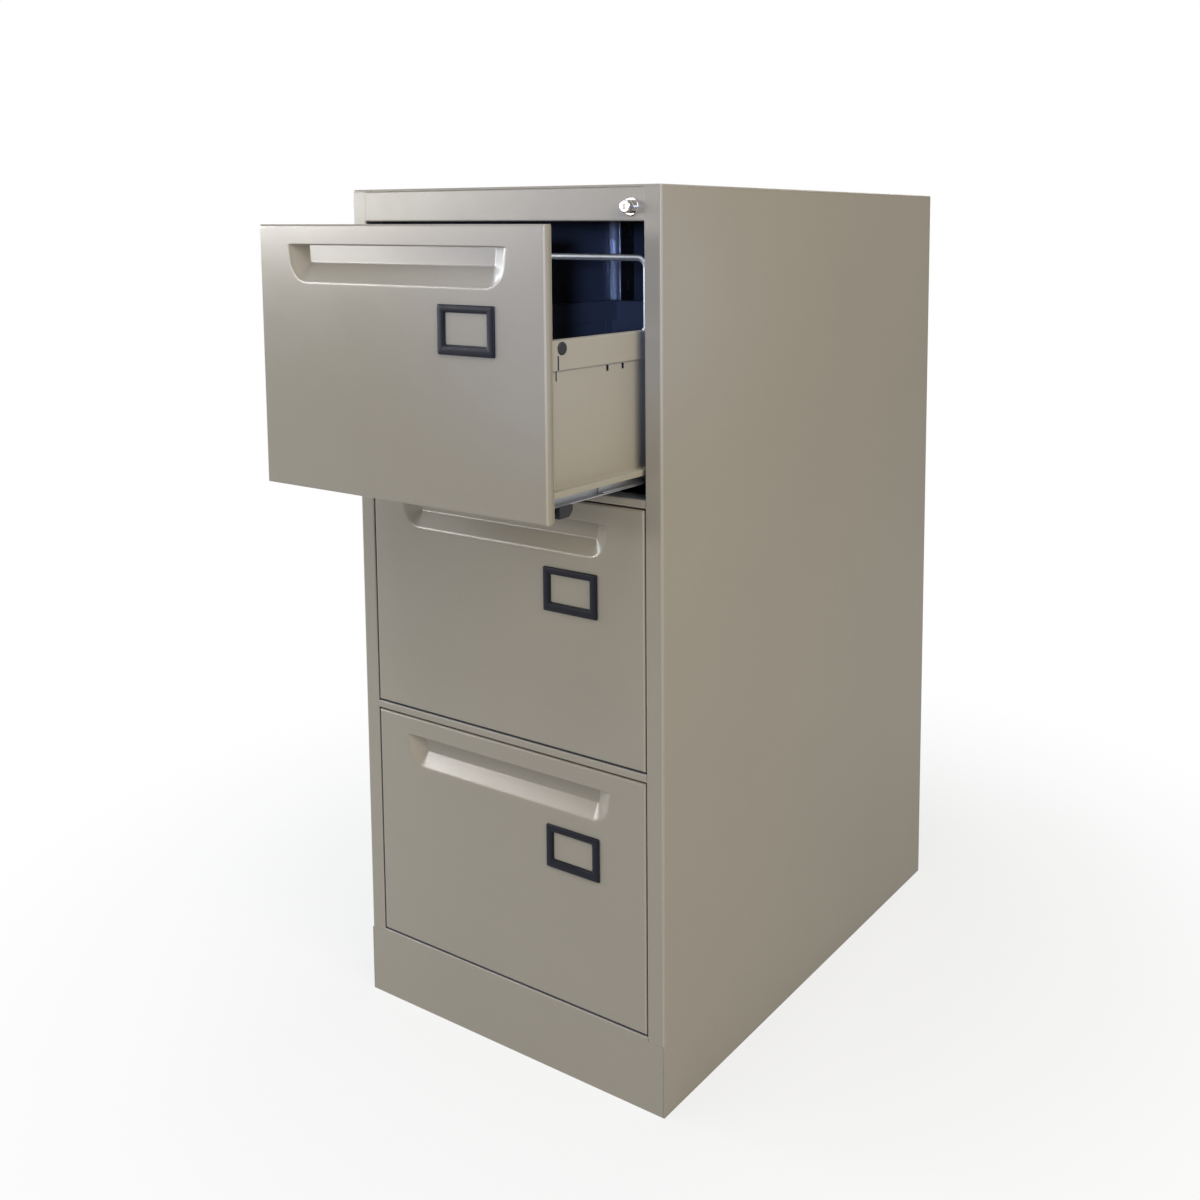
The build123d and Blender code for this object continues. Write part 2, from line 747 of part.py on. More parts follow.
right_side_panel = side_panel()
save("right_side_panel", right_side_panel)
save("left_side_panel", mirror(right_side_panel, about=Plane.YZ))
save("top_panel", top_cap())
save("header_rail", header())
save("upper_cross_rail", cross_rail(front_places[2] - front_gap - rail_height))
save("lower_cross_rail", cross_rail(front_places[1] - front_gap - rail_height))
save("plinth_front", plinth())
save("base_frame", base_frame())
save("back_panel", back_panel())
save("back_panel_rivets", back_rivets())
save("front_uprights", both_sides(upright(front_upright_y)))
save("rear_uprights", both_sides(upright(rear_upright_y)))

right_drawer_side = drawer_side()
drawer_pieces = {
    "front": drawer_front(),
    "front_liner": front_liner(),
    "label_holder": label_holder(),
    "right_side": right_drawer_side,
    "left_side": mirror(right_drawer_side, about=Plane.YZ),
    "bottom": drawer_bottom(),
    "back": drawer_back(),
    "folder_bar": folder_bar(),
    "inner_rails": both_sides(inner_rail()),
    "rubber_buttons": both_sides(rubber_button()),
    "lock_catch": lock_catch(),
}
intermediate_rails = both_sides(intermediate_rail())
outer_rails = both_sides(outer_rail())
for drawer, z in zip(drawer_names, front_places):
    opened = top_drawer_open if drawer == "top" else 0.0
    for piece, shape in drawer_pieces.items():
        save(f"{drawer}_drawer_{piece}", Pos(0, -opened, z) * shape)
    save(f"{drawer}_intermediate_rails", Pos(0, -opened / 2, z) * intermediate_rails)
    save(f"{drawer}_outer_rails", Pos(0, 0, z) * outer_rails)

save("lock_barrel", lock_barrel())
save("lock_nut", lock_nut())
save("lock_plunger", lock_plunger())
save("lock_core", lock_core())
save("lock_bar", lock_bar())
save("lock_bar_lugs", lock_bar_lugs())
save("lock_bar_guides", lock_bar_guides())
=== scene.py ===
"""Looks of a three-drawer vertical filing cabinet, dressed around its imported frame.

Metres, in the frame of the model: X across the front, Y from the front to the back, Z up from the
floor. The sections follow the object from its surroundings to its smallest pieces.
"""
import math

import bmesh
import bpy
from mathutils import Matrix, Vector


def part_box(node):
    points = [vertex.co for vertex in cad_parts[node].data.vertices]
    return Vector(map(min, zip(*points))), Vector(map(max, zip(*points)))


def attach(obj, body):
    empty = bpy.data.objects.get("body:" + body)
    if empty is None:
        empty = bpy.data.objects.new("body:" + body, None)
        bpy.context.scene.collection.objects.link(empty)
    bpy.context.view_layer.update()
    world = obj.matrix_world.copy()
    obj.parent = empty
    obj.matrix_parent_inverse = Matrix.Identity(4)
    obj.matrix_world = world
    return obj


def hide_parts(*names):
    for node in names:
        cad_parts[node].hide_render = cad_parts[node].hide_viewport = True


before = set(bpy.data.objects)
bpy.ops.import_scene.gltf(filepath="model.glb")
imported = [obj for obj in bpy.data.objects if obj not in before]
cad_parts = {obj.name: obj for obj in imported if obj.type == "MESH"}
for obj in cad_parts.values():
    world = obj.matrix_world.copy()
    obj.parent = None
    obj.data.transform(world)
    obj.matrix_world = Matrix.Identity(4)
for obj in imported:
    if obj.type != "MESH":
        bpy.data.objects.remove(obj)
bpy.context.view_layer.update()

# Camera: the photograph's eye point, level with the upper edge of the top drawer and to its right.
# The shift puts the cabinet where it stands in the picture without tilting its upright lines.
camera_place = (1.0089, -1.4391, 0.9777)
camera_turn = 33.424
camera_tilt = 6.079
film_width = 36.0
focal_length = 39.43
shift_across = -0.0870
shift_up = -0.1957
camera_data = bpy.data.cameras.new("photo_camera")
camera_data.sensor_width = film_width
camera_data.lens = focal_length
camera_data.shift_x = shift_across
camera_data.shift_y = shift_up
camera = bpy.data.objects.new("photo_camera", camera_data)
camera.location = camera_place
camera.rotation_euler = (math.radians(90 - camera_tilt), 0, math.radians(camera_turn))
bpy.context.scene.collection.objects.link(camera)
bpy.context.scene.camera = camera
bpy.context.scene.view_settings.view_transform = "Standard"

# Studio: a white room with a faint dome and soft sheets of light: a broad one overhead, one at the
# left, a warm one for the side and a narrow one behind. Two low windows at the front left lay the
# satin glow on the upper left of the open drawer and the header.
white = (1, 1, 1, 1)
dome_strength = 0.12
# Gloss sees the white room at less than half its strength.
gloss_share = 0.45
# Each row is name, place, aim, width, height, power and tint.
lamps = (
    ("window_far", (-2.25, -2.0, 1.12), (-0.1, -0.1, 0.95), 0.9, 0.22, 15.2, (1.0, 0.99, 0.96)),
    ("window_near", (-1.7, -2.1, 1.10), (-0.1, -0.1, 0.95), 0.9, 0.22, 5.9, (1.0, 0.96, 0.99)),
    ("left", (-2.2, -0.9, 1.35), (0.1, -0.4, 0.9), 0.8, 0.8, 25.4, (0.87, 0.94, 1.0)),
    ("overhead", (0.1, -1.6, 4.2), (0.0, -0.1, 0.5), 2.2, 2.2, 66.0, (0.81, 0.87, 1.0)),
    ("side", (2.1, -1.05, 1.85), (0.23, -0.1, 0.6), 1.4, 1.4, 40.5, (1.0, 0.92, 0.785)),
    ("behind", (0.0, 2.7, 1.5), (0.0, 0.34, 0.6), 0.4, 1.6, 17.0, (1.0, 0.97, 0.92)),
)
# A weak bluish spot, level with the cap, shows what lies inside the open shell.
spot_place = (1.15, -1.75, 1.015)
spot_aim = (-0.12, 0.0, 0.88)
spot_cone = 15.0
spot_blend = 1.0
spot_size = 0.04
spot_power = 42.0
spot_tint = (0.36, 0.50, 1.0)


def add_node(tree, kind, settings=(), values=()):
    """New node of a kind, with its settings and its unlinked input values."""
    node = tree.nodes.new("ShaderNode" + kind)
    for name, value in dict(settings).items():
        setattr(node, name, value)
    for name, value in dict(values).items():
        node.inputs[name].default_value = value
    return node


def add_math(tree, operation, first, second=0.0):
    """Sum, product or other operation on one or two sockets or numbers."""
    node = add_node(tree, "Math", {"operation": operation})
    for index, value in enumerate((first, second)):
        if isinstance(value, (int, float)):
            node.inputs[index].default_value = value
        else:
            tree.links.new(value, node.inputs[index])
    return node.outputs["Value"]


def add_choice(tree, share, first, second, output):
    """Lead the mix of two shaders to an output node."""
    choice = add_node(tree, "MixShader")
    for value, socket in zip((share, first, second), choice.inputs):
        tree.links.new(value, socket)
    tree.links.new(choice.outputs["Shader"], add_node(tree, output).inputs["Surface"])


def background_rays(tree):
    """1 for rays that show the plain white, from the camera or through glass, and less off gloss."""
    path = add_node(tree, "LightPath")
    straight = add_math(tree, "MAXIMUM", path.outputs["Is Camera Ray"],
                        path.outputs["Is Transmission Ray"])
    return add_math(tree, "MAXIMUM", straight,
                    add_math(tree, "MULTIPLY", path.outputs["Is Glossy Ray"], gloss_share))


def add_lamp(name, kind, place, aim, power, tint):
    """New lamp of a kind, turned towards its aim, and its data."""
    lamp_data = bpy.data.lights.new(name, kind)
    lamp_data.energy = power
    lamp_data.color = tint
    lamp = bpy.data.objects.new(name, lamp_data)
    lamp.location = place
    lamp.rotation_euler = (Vector(aim) - Vector(place)).to_track_quat("-Z", "Y").to_euler()
    bpy.context.scene.collection.objects.link(lamp)
    return lamp_data


world = bpy.data.worlds.new("studio")
bpy.context.scene.world = world
world.use_nodes = True
sky = world.node_tree
sky.nodes.clear()
seen = add_node(sky, "Background", (), {"Color": white})
lighting = add_node(sky, "Background", (), {"Color": white, "Strength": dome_strength})
add_choice(sky, background_rays(sky), lighting.outputs["Background"], seen.outputs["Background"],
           "OutputWorld")

for name, place, aim, lamp_width, lamp_height, power, tint in lamps:
    sheet_of_light = add_lamp(name, "AREA", place, aim, power, tint)
    sheet_of_light.shape = "RECTANGLE"
    sheet_of_light.size = lamp_width
    sheet_of_light.size_y = lamp_height

spot = add_lamp("inside", "SPOT", spot_place, spot_aim, spot_power, spot_tint)
spot.spot_size = math.radians(spot_cone)
spot.spot_blend = spot_blend
spot.shadow_soft_size = spot_size

# Floor: a plain pale sheet. The camera sees it nearly white with a soft contact shadow near the
# cabinet, fading into the background farther out, while the cabinet still gets its bounce. What the
# cabinet covers stays in its shade.
floor_half = 6.0
floor_shade = (0.68, 0.68, 0.67, 1)
near_glow = 0.76
fade_start = 0.35
fade_end = 1.15
covered_half_width = 0.220
covered_half_depth = 0.325


def own_place(tree):
    """Place in the object coordinates of the piece."""
    return add_node(tree, "TexCoord").outputs["Object"]


def split(tree, vector):
    """The sockets X, Y and Z of a vector."""
    node = add_node(tree, "SeparateXYZ")
    tree.links.new(vector, node.inputs["Vector"])
    return node.outputs


def add_piece(name, build):
    """New object in the scene with the mesh that was built."""
    mesh = bpy.data.meshes.new(name)
    build.to_mesh(mesh)
    build.free()
    piece = bpy.data.objects.new(name, mesh)
    bpy.context.scene.collection.objects.link(piece)
    return piece


build = bmesh.new()
bmesh.ops.create_grid(build, x_segments=1, y_segments=1, size=floor_half)
floor = add_piece("floor", build)
floor_paint = bpy.data.materials.new("floor")
floor_paint.use_nodes = True
tree = floor_paint.node_tree
tree.nodes.clear()
matt = add_node(tree, "BsdfDiffuse", (), {"Color": floor_shade})
glow = add_node(tree, "Emission", (), {"Color": white})
place = own_place(tree)
from_middle = add_node(tree, "VectorMath", {"operation": "LENGTH"})
tree.links.new(place, from_middle.inputs[0])
fade = add_node(tree, "MapRange", {"interpolation_type": "SMOOTHSTEP"},
                {"From Min": fade_start, "From Max": fade_end, "To Min": near_glow, "To Max": 1.0})
tree.links.new(from_middle.outputs["Value"], fade.inputs["Value"])
across = split(tree, place)
beside = add_math(tree, "GREATER_THAN", add_math(tree, "ABSOLUTE", across["X"]), covered_half_width)
before = add_math(tree, "GREATER_THAN", add_math(tree, "ABSOLUTE", across["Y"]), covered_half_depth)
share = add_math(tree, "MULTIPLY", fade.outputs["Result"],
                 add_math(tree, "MAXIMUM", beside, before))
share = add_math(tree, "MULTIPLY", share, background_rays(tree))
add_choice(tree, share, matt.outputs["BSDF"], glow.outputs["Emission"], "OutputMaterial")
floor.data.materials.append(floor_paint)

# Shell: side panels, cap, header, cross rails and plinth, folded from steel sheet and welded, and a
# riveted back, in one warm grey satin powder coat: fine orange peel, faint clouds, slow waves,
# painted highlights on the folds and a little dust on top. The faces inside have painted shade: a
# dark bluish colour in place of the coat.
shell_colour = (0.335, 0.307, 0.255)
shell_roughness = 0.32
coat_fold_radius = 0.0008
coat_fold_samples = 6
# Most of a noise lies in this reach.
noise_reach = (0.3, 0.7)
cloud_scale = 7.0
cloud_tone = (0.985, 1.015)
peel_scale = 620.0
peel_height = 0.000006
peel_reach = (0.2, 0.8)
peel_tone = (0.98, 1.02)
wave_scale = 4.5
wave_height = 0.00016
smear_scale = 38.0
smear_roughness = (-0.02, 0.02)
# Painted highlight: the coat is made lighter where the rounded normal turns away from the flat one,
# and where a face of the mesh looks askew, between the front and the side.
fold_turn = (0.75, 0.98)
fold_slant = (0.15, 0.45)
fold_highlight_tone = 0.30
dust_colour = (0.62, 0.60, 0.56)
dust_facing = (0.7, 1.0)
dust_cover = (0.0, 0.16)
dust_smears = (0.35, 0.7)
dust_patches = (0.2, 1.0)
dust_roughness = 0.8
# Painted shade: a dark bluish colour, instead of the coat, on the faces inside the shell and the
# drawers.
inside_shade_colour = (0.19, 0.21, 0.26)
# The faces with painted shade lie within these planes. The two sides of the back sheet are told
# apart by moving each face a little the way that it looks.
front_plane = -0.3365
front_sheet = 0.0011
inside_x = 0.2280
inside_front = front_plane + front_sheet
inside_top = 1.0165
inside_back = 0.3356
sheet_side = 0.003
# Places of the sockets of a Mix node that works on colours, the last one among its outputs.
mix_share = 0
mix_first = 6
mix_second = 7
mix_colour = 2


def add_noise(tree, vector, scale, detail, roughness=0.5):
    """Noise over a vector, from 0 to 1."""
    noise = add_node(tree, "TexNoise", (), {"Scale": scale, "Detail": detail,
                                            "Roughness": roughness})
    tree.links.new(vector, noise.inputs["Vector"])
    return noise.outputs["Fac"]


def add_range(tree, value, reach, spread=(0.0, 1.0)):
    """A value mapped from its reach to a spread, and kept inside it."""
    node = add_node(tree, "MapRange", (), {"From Min": reach[0], "From Max": reach[1],
                                           "To Min": spread[0], "To Max": spread[1]})
    tree.links.new(value, node.inputs["Value"])
    return node.outputs["Result"]


def add_tone(tree, colour, factor):
    """A colour made lighter or darker by a factor."""
    node = add_node(tree, "VectorMath", {"operation": "SCALE"})
    tree.links.new(colour, node.inputs["Vector"])
    tree.links.new(factor, node.inputs["Scale"])
    return node.outputs["Vector"]


def add_blend(tree, share, first, second):
    """Colour between two others, each a socket or three numbers."""
    node = add_node(tree, "Mix", {"data_type": "RGBA"})
    tree.links.new(share, node.inputs[mix_share])
    for index, colour in ((mix_first, first), (mix_second, second)):
        if isinstance(colour, tuple):
            node.inputs[index].default_value = (*colour, 1)
        else:
            tree.links.new(colour, node.inputs[index])
    return node.outputs[mix_colour]


def add_bump(tree, height, strength, distance):
    """Bump node that raises a surface by a height."""
    bump = add_node(tree, "Bump", (), {"Strength": strength, "Distance": distance})
    tree.links.new(height, bump.inputs["Height"])
    return bump


def add_all(tree, shares):
    """1 where each of the shares is 1."""
    whole = shares[0]
    for share in shares[1:]:
        whole = add_math(tree, "MULTIPLY", whole, share)
    return whole


def flat_normal(tree):
    """Way that the surface looks, without bump."""
    return add_node(tree, "NewGeometry").outputs["Normal"]


def new_finish(name, extra=()):
    """Node group from a colour and a roughness to a finish, still empty, with its two ends."""
    group = bpy.data.node_groups.new(name, "ShaderNodeTree")
    for way, sockets in (("INPUT", ("Colour", "Roughness", *extra)),
                         ("OUTPUT", ("Colour", "Roughness", "Height"))):
        for socket in sockets:
            kind = "NodeSocketColor" if socket == "Colour" else "NodeSocketFloat"
            group.interface.new_socket(socket, in_out=way, socket_type=kind)
    return group, group.nodes.new("NodeGroupInput"), group.nodes.new("NodeGroupOutput")


def new_material(name):
    """Material with a Principled shader, and that shader's node."""
    material = bpy.data.materials.new(name)
    material.use_nodes = True
    return material, material.node_tree, material.node_tree.nodes["Principled BSDF"]


def lay_finish(tree, shader, group, colour, roughness, fold_radius, samples):
    """Lay a finish on a shader whose sharp edges look folded: its node and the folded normal."""
    finish = add_node(tree, "Group", {"node_tree": group},
                      {"Colour": (*colour, 1), "Roughness": roughness})
    fold = add_node(tree, "Bevel", {"samples": samples}, {"Radius": fold_radius})
    bump = add_bump(tree, finish.outputs["Height"], 1.0, 1.0)
    tree.links.new(fold.outputs["Normal"], bump.inputs["Normal"])
    tree.links.new(finish.outputs["Colour"], shader.inputs["Base Color"])
    tree.links.new(finish.outputs["Roughness"], shader.inputs["Roughness"])
    tree.links.new(bump.outputs["Normal"], shader.inputs["Normal"])
    return finish, fold.outputs["Normal"]


def dress(nodes, material):
    """Give CAD nodes a material."""
    for name in nodes:
        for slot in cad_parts[name].material_slots:
            slot.material = material


coat, given, result = new_finish("powder_coat", ("Edge",))
place = own_place(coat)
clouds = add_noise(coat, place, cloud_scale, detail=4.0, roughness=0.6)
smears = add_noise(coat, place, smear_scale, detail=5.0, roughness=0.65)
peel = add_noise(coat, place, peel_scale, detail=2.0)
waves = add_noise(coat, place, wave_scale, detail=1.0)
tone = add_math(coat, "MULTIPLY", add_range(coat, clouds, noise_reach, cloud_tone),
                add_range(coat, peel, peel_reach, peel_tone))
facing = split(coat, flat_normal(coat))
slant = add_math(coat, "ABSOLUTE", add_math(coat, "MULTIPLY", facing["X"], facing["Y"]))
# Painted highlight: folds and faces that look askew between front and side are made lighter.
painted_fold_highlight = add_math(coat, "MAXIMUM", given.outputs["Edge"], add_range(coat, slant, fold_slant))
tone = add_math(coat, "ADD", tone, add_math(coat, "MULTIPLY", painted_fold_highlight, fold_highlight_tone))
toned = add_tone(coat, given.outputs["Colour"], tone)
dusty = add_math(coat, "MULTIPLY", add_range(coat, facing["Z"], dust_facing, dust_cover),
                 add_range(coat, smears, dust_smears, dust_patches))
coat.links.new(add_blend(coat, dusty, toned, dust_colour), result.inputs["Colour"])
rough = add_math(coat, "ADD", given.outputs["Roughness"],
                 add_range(coat, smears, noise_reach, smear_roughness))
rough = add_math(coat, "ADD", rough, add_math(coat, "MULTIPLY", dusty, dust_roughness))
coat.links.new(rough, result.inputs["Roughness"])
height = add_math(coat, "ADD", add_math(coat, "MULTIPLY", peel, peel_height),
                  add_math(coat, "MULTIPLY", waves, wave_height))
coat.links.new(height, result.inputs["Height"])


def powder_coat(name, colour, roughness):
    """Painted sheet with a painted highlight on its folds, its node tree and its shader."""
    material, tree, shader = new_material(name)
    finish, folded = lay_finish(tree, shader, coat, colour, roughness, coat_fold_radius,
                                coat_fold_samples)
    turned = add_node(tree, "VectorMath", {"operation": "DOT_PRODUCT"})
    tree.links.new(folded, turned.inputs[0])
    tree.links.new(flat_normal(tree), turned.inputs[1])
    # Where the folds are, for the painted highlight.
    edge = add_range(tree, turned.outputs["Value"], fold_turn, (1.0, 0.0))
    tree.links.new(edge, finish.inputs["Edge"])
    return material, tree, shader


def paint_inside_shade(tree, shader, share):
    """Painted shade, a dark bluish colour instead of the coat, where share is 1."""
    painted = shader.inputs["Base Color"].links[0].from_socket
    tree.links.new(add_blend(tree, share, painted, inside_shade_colour), shader.inputs["Base Color"])


shell_coat, tree, shader = powder_coat("shell_coat", shell_colour, shell_roughness)
place = split(tree, own_place(tree))
facing = split(tree, flat_normal(tree))
behind = add_math(tree, "ADD", place["Y"], add_math(tree, "MULTIPLY", facing["Y"], sheet_side))
# Faces inside the shell, which get the painted shade.
within = add_all(tree, [
    add_math(tree, "LESS_THAN", add_math(tree, "ABSOLUTE", place["X"]), inside_x),
    add_math(tree, "GREATER_THAN", place["Y"], inside_front),
    add_math(tree, "LESS_THAN", place["Z"], inside_top),
    add_math(tree, "LESS_THAN", behind, inside_back),
])
paint_inside_shade(tree, shader, within)
dress(["right_side_panel", "left_side_panel", "top_panel", "header_rail", "upper_cross_rail",
       "lower_cross_rail", "plinth_front", "back_panel"], shell_coat)

# Inside the shell: the welded base ring and the lock bar with its lugs and guides in dark dipped
# steel; the slotted uprights, the rails' cabinet and middle members, the back's pop rivets and the
# lock's nut in zinc plate. Streaks run along the rails, with faint spangle and handling marks.
dipped_colour = (0.052, 0.052, 0.058)
dipped_roughness = 0.48
dipped_metal = 0.7
zinc_colour = (0.52, 0.53, 0.55)
zinc_roughness = 0.34
plate_fold_radius = 0.0004
plate_fold_samples = 4
drawn_scale = (260.0, 9.0, 260.0)
streak_scale = 3.0
streak_tone = (0.90, 1.06)
streak_roughness = (-0.03, 0.05)
streak_height = 0.00003
mark_scale = 55.0
mark_roughness = (-0.05, 0.09)
spangle_scale = 240.0
spangle_reach = (0.0, 0.8)
spangle_tone = (1.03, 0.94)
drawers = ["bottom", "middle", "top"]

plate, given, result = new_finish("plated_steel")
place = own_place(plate)
drawn = add_node(plate, "Mapping", (), {"Scale": drawn_scale})
plate.links.new(place, drawn.inputs["Vector"])
streaks = add_noise(plate, drawn.outputs["Vector"], streak_scale, detail=3.0)
marks = add_noise(plate, place, mark_scale, detail=4.0, roughness=0.6)
spangle = add_node(plate, "TexVoronoi", {"feature": "F1"}, {"Scale": spangle_scale})
plate.links.new(place, spangle.inputs["Vector"])
tone = add_math(plate, "MULTIPLY", add_range(plate, streaks, noise_reach, streak_tone),
                add_range(plate, spangle.outputs["Distance"], spangle_reach, spangle_tone))
plate.links.new(add_tone(plate, given.outputs["Colour"], tone), result.inputs["Colour"])
rough = add_math(plate, "ADD", given.outputs["Roughness"],
                 add_math(plate, "ADD", add_range(plate, marks, noise_reach, mark_roughness),
                          add_range(plate, streaks, noise_reach, streak_roughness)))
plate.links.new(rough, result.inputs["Roughness"])
plate.links.new(add_math(plate, "MULTIPLY", streaks, streak_height), result.inputs["Height"])


def plated_steel(name, colour, roughness, metallic):
    """Bright or dipped steel."""
    material, tree, shader = new_material(name)
    lay_finish(tree, shader, plate, colour, roughness, plate_fold_radius, plate_fold_samples)
    shader.inputs["Metallic"].default_value = metallic
    return material


dipped_steel = plated_steel("dipped_steel", dipped_colour, dipped_roughness, dipped_metal)
zinc_plate = plated_steel("zinc_plate", zinc_colour, zinc_roughness, 1.0)
dress(["base_frame", "lock_bar", "lock_bar_lugs", "lock_bar_guides"], dipped_steel)
dress(["front_uprights", "rear_uprights", "back_panel_rivets", "lock_nut"], zinc_plate)
for drawer in drawers:
    dress([f"{drawer}_outer_rails", f"{drawer}_intermediate_rails"], zinc_plate)

# Drawer bodies: sides, bottom, back and the liner that closes the front from behind, folded from
# steel sheet in a slightly yellower coat, with painted shade, a dark bluish colour, on the faces
# that look into the drawer. The rails fixed under their ledges are zinc plated, and the catches
# dark.
body_colour = (0.355, 0.328, 0.262)
body_roughness = 0.46
body_parts = ["front_liner", "right_side", "left_side", "bottom", "back"]
# The faces that look inwards beyond side_reach from the middle, those that look to the front, and
# those that look up, low in a drawer and between its ledges, get the painted shade. A face looks up
# or to the front where its normal mostly does.
mostly = 0.5
side_reach = 0.05
first_drawer_low = 0.0887
drawer_pitch = 0.301
floor_reach = 0.10
floor_half_width = 0.1905

body_coat, tree, shader = powder_coat("drawer_body_coat", body_colour, body_roughness)
place = split(tree, own_place(tree))
facing = split(tree, flat_normal(tree))
inward = add_math(tree, "LESS_THAN", add_math(tree, "MULTIPLY", place["X"], facing["X"]),
                  -side_reach)
forward = add_math(tree, "LESS_THAN", facing["Y"], -mostly)
up_the_drawer = add_math(tree, "MODULO",
                         add_math(tree, "SUBTRACT", place["Z"], first_drawer_low), drawer_pitch)
level = add_all(tree, [
    add_math(tree, "GREATER_THAN", facing["Z"], mostly),
    add_math(tree, "LESS_THAN", up_the_drawer, floor_reach),
    add_math(tree, "LESS_THAN", add_math(tree, "ABSOLUTE", place["X"]), floor_half_width),
])
# Painted shade on the faces inside each drawer.
paint_inside_shade(tree, shader, add_math(tree, "MAXIMUM", add_math(tree, "MAXIMUM", inward, forward), level))
for drawer in drawers:
    dress([f"{drawer}_drawer_{part}" for part in body_parts], body_coat)
    dress([f"{drawer}_drawer_inner_rails"], zinc_plate)
    dress([f"{drawer}_drawer_lock_catch"], dipped_steel)

# Folder bars: one bright drawn steel rod across each drawer, bent down at its ends, with its legs
# seated in the boxed bands of the drawer sides. Hangers that slide on it leave faint scratches
# round it.
rod_dark = (0.84, 0.88, 0.93)
rod_light = (0.93, 0.96, 0.99)
rod_cloud_scale = 30.0
rod_roughness = (0.36, 0.48)
scratch_stretch = (900.0, 30.0, 30.0)
rod_steel, tree, shader = new_material("rod_steel")
place = own_place(tree)
round_it = add_node(tree, "Mapping", (), {"Scale": scratch_stretch})
tree.links.new(place, round_it.inputs["Vector"])
scratches = add_noise(tree, round_it.outputs["Vector"], 1.0, detail=3.0)
clouding = add_noise(tree, place, rod_cloud_scale, detail=3.0)
tree.links.new(add_blend(tree, clouding, rod_dark, rod_light), shader.inputs["Base Color"])
tree.links.new(add_range(tree, scratches, noise_reach, rod_roughness), shader.inputs["Roughness"])
shader.inputs["Metallic"].default_value = 1.0
dress([f"{drawer}_drawer_folder_bar" for drawer in drawers], rod_steel)

# Rubber buttons: moulded bump stops of dull black rubber, pushed into the bands of the drawer sides
# near the front, with a fine grain and a bloom of dust.
rubber_dark = (0.010, 0.010, 0.012)
rubber_bloomed = (0.030, 0.030, 0.033)
rubber_roughness = (0.55, 0.75)
bloom_scale = 120.0
rubber_grain_scale = 900.0
rubber_grain_strength = 0.4
rubber_grain_height = 0.00008
rubber, tree, shader = new_material("button_rubber")
place = own_place(tree)
grain = add_noise(tree, place, rubber_grain_scale, detail=3.0)
bloom = add_noise(tree, place, bloom_scale, detail=4.0)
tree.links.new(add_blend(tree, bloom, rubber_dark, rubber_bloomed), shader.inputs["Base Color"])
tree.links.new(add_range(tree, bloom, noise_reach, rubber_roughness), shader.inputs["Roughness"])
bump = add_bump(tree, grain, rubber_grain_strength, rubber_grain_height)
tree.links.new(bump.outputs["Normal"], shader.inputs["Normal"])
dress([f"{drawer}_drawer_rubber_buttons" for drawer in drawers], rubber)

# Drawer fronts: each a skin of steel sheet in the shell's colour, with a soft-edged hand recess
# pressed under its top edge. One flat sheet is cut across into steps and pressed, and its edges are
# rolled over and led back as returns round the liner.
front_roughness = 0.25
sheet = 0.001
roll_radius = 0.0024
roll_steps = 5
return_depth = 0.010
crease = 0.0004
skin_sharp_angle = 40
recess_from_edge = 0.049
recess_from_top = 0.022
recess_height = 0.039
recess_depth = 0.0108
recess_slope = 0.0195
recess_corner = 0.022
recess_lean = 0.0045
back_lean = 0.10
rim_softness = 0.13
back_softness = 0.05
# Share of the pressed depth that is left at each rise above the recess's top edge.
top_edge = ((0.0, 1.0), (0.0001, 0.86), (0.0002, 0.30), (0.0004, 0.10), (0.0007, 0.02),
            (0.0010, 0.0))
above_top_edge = 0.0013
# The sheet is cut finely over the recess's rim and slope and wider elsewhere.
side_step = 0.010
wide_step = 0.008
fine_step = 0.0011
upper_step = 0.006
rim_margin = 0.004
slopes_cut_finely = 1.5
tolerance = 1e-6
front_coat = powder_coat("drawer_front_coat", shell_colour, front_roughness)[0]


def pressed_share(distance):
    """Share of the recess's depth at a distance inside its rim, with eased ends."""
    along = distance / recess_slope
    if along <= -rim_softness:
        return 0.0
    if along < rim_softness:
        return (along + rim_softness) ** 2 / (4 * rim_softness)
    if along <= 1 - back_softness:
        return along
    if along < 1 + back_softness:
        return 1 - (1 + back_softness - along) ** 2 / (4 * back_softness)
    return 1.0


def recess_at(x, z, half, low):
    """Depth of the recess at a point of the front, low being its lower rim."""
    fall = (low + recess_height - z) / recess_height
    half -= recess_lean * fall
    beside = abs(x) - (half - recess_corner)
    below = low + recess_corner - z
    if beside > 0 and below > 0:
        inside = recess_corner - math.hypot(beside, below)
    else:
        inside = min(half - abs(x), z - low)
    return recess_depth * (1 - back_lean * fall) * pressed_share(inside)


def even_steps(start, end, step):
    """Places from start up to end, about a step apart, end left out."""
    count = max(1, round((end - start) / step))
    return [start + (end - start) * index / count for index in range(count)]


def cut_across(build, axis, places):
    """Cut the sheet across at each place along an axis."""
    for place in places:
        bmesh.ops.bisect_plane(build, geom=build.verts[:] + build.edges[:] + build.faces[:],
                               plane_co=axis * place, plane_no=axis)


def fold_back(build, half_width, low, high):
    """Roll the edges of the sheet over and lead them back as returns."""
    turns = [math.radians(90 * step / roll_steps) for step in range(1, roll_steps + 1)]
    profile = [(roll_radius * math.sin(turn), roll_radius * (1 - math.cos(turn)))
               for turn in turns]
    profile.append((roll_radius, return_depth))
    out = back = 0.0
    for next_out, next_back in profile:
        rim = [edge for edge in build.edges if edge.is_boundary]
        bmesh.ops.extrude_edge_only(build, edges=rim)
        rim = [edge for edge in build.edges if edge.is_boundary]
        for vert in {vert for edge in rim for vert in edge.verts}:
            side = (vert.co.x > half_width - tolerance) - (vert.co.x < tolerance - half_width)
            rise = (vert.co.z > high - tolerance) - (vert.co.z < low + tolerance)
            vert.co += Vector((side * (next_out - out), next_back - back, rise * (next_out - out)))
        out, back = next_out, next_back


def finish_piece(piece, sharp_angle, material):
    """Shade a piece smooth but for its sharp edges, and give it a material."""
    piece.data.shade_smooth()
    piece.data.set_sharp_from_angle(angle=math.radians(sharp_angle))
    piece.data.materials.append(material)


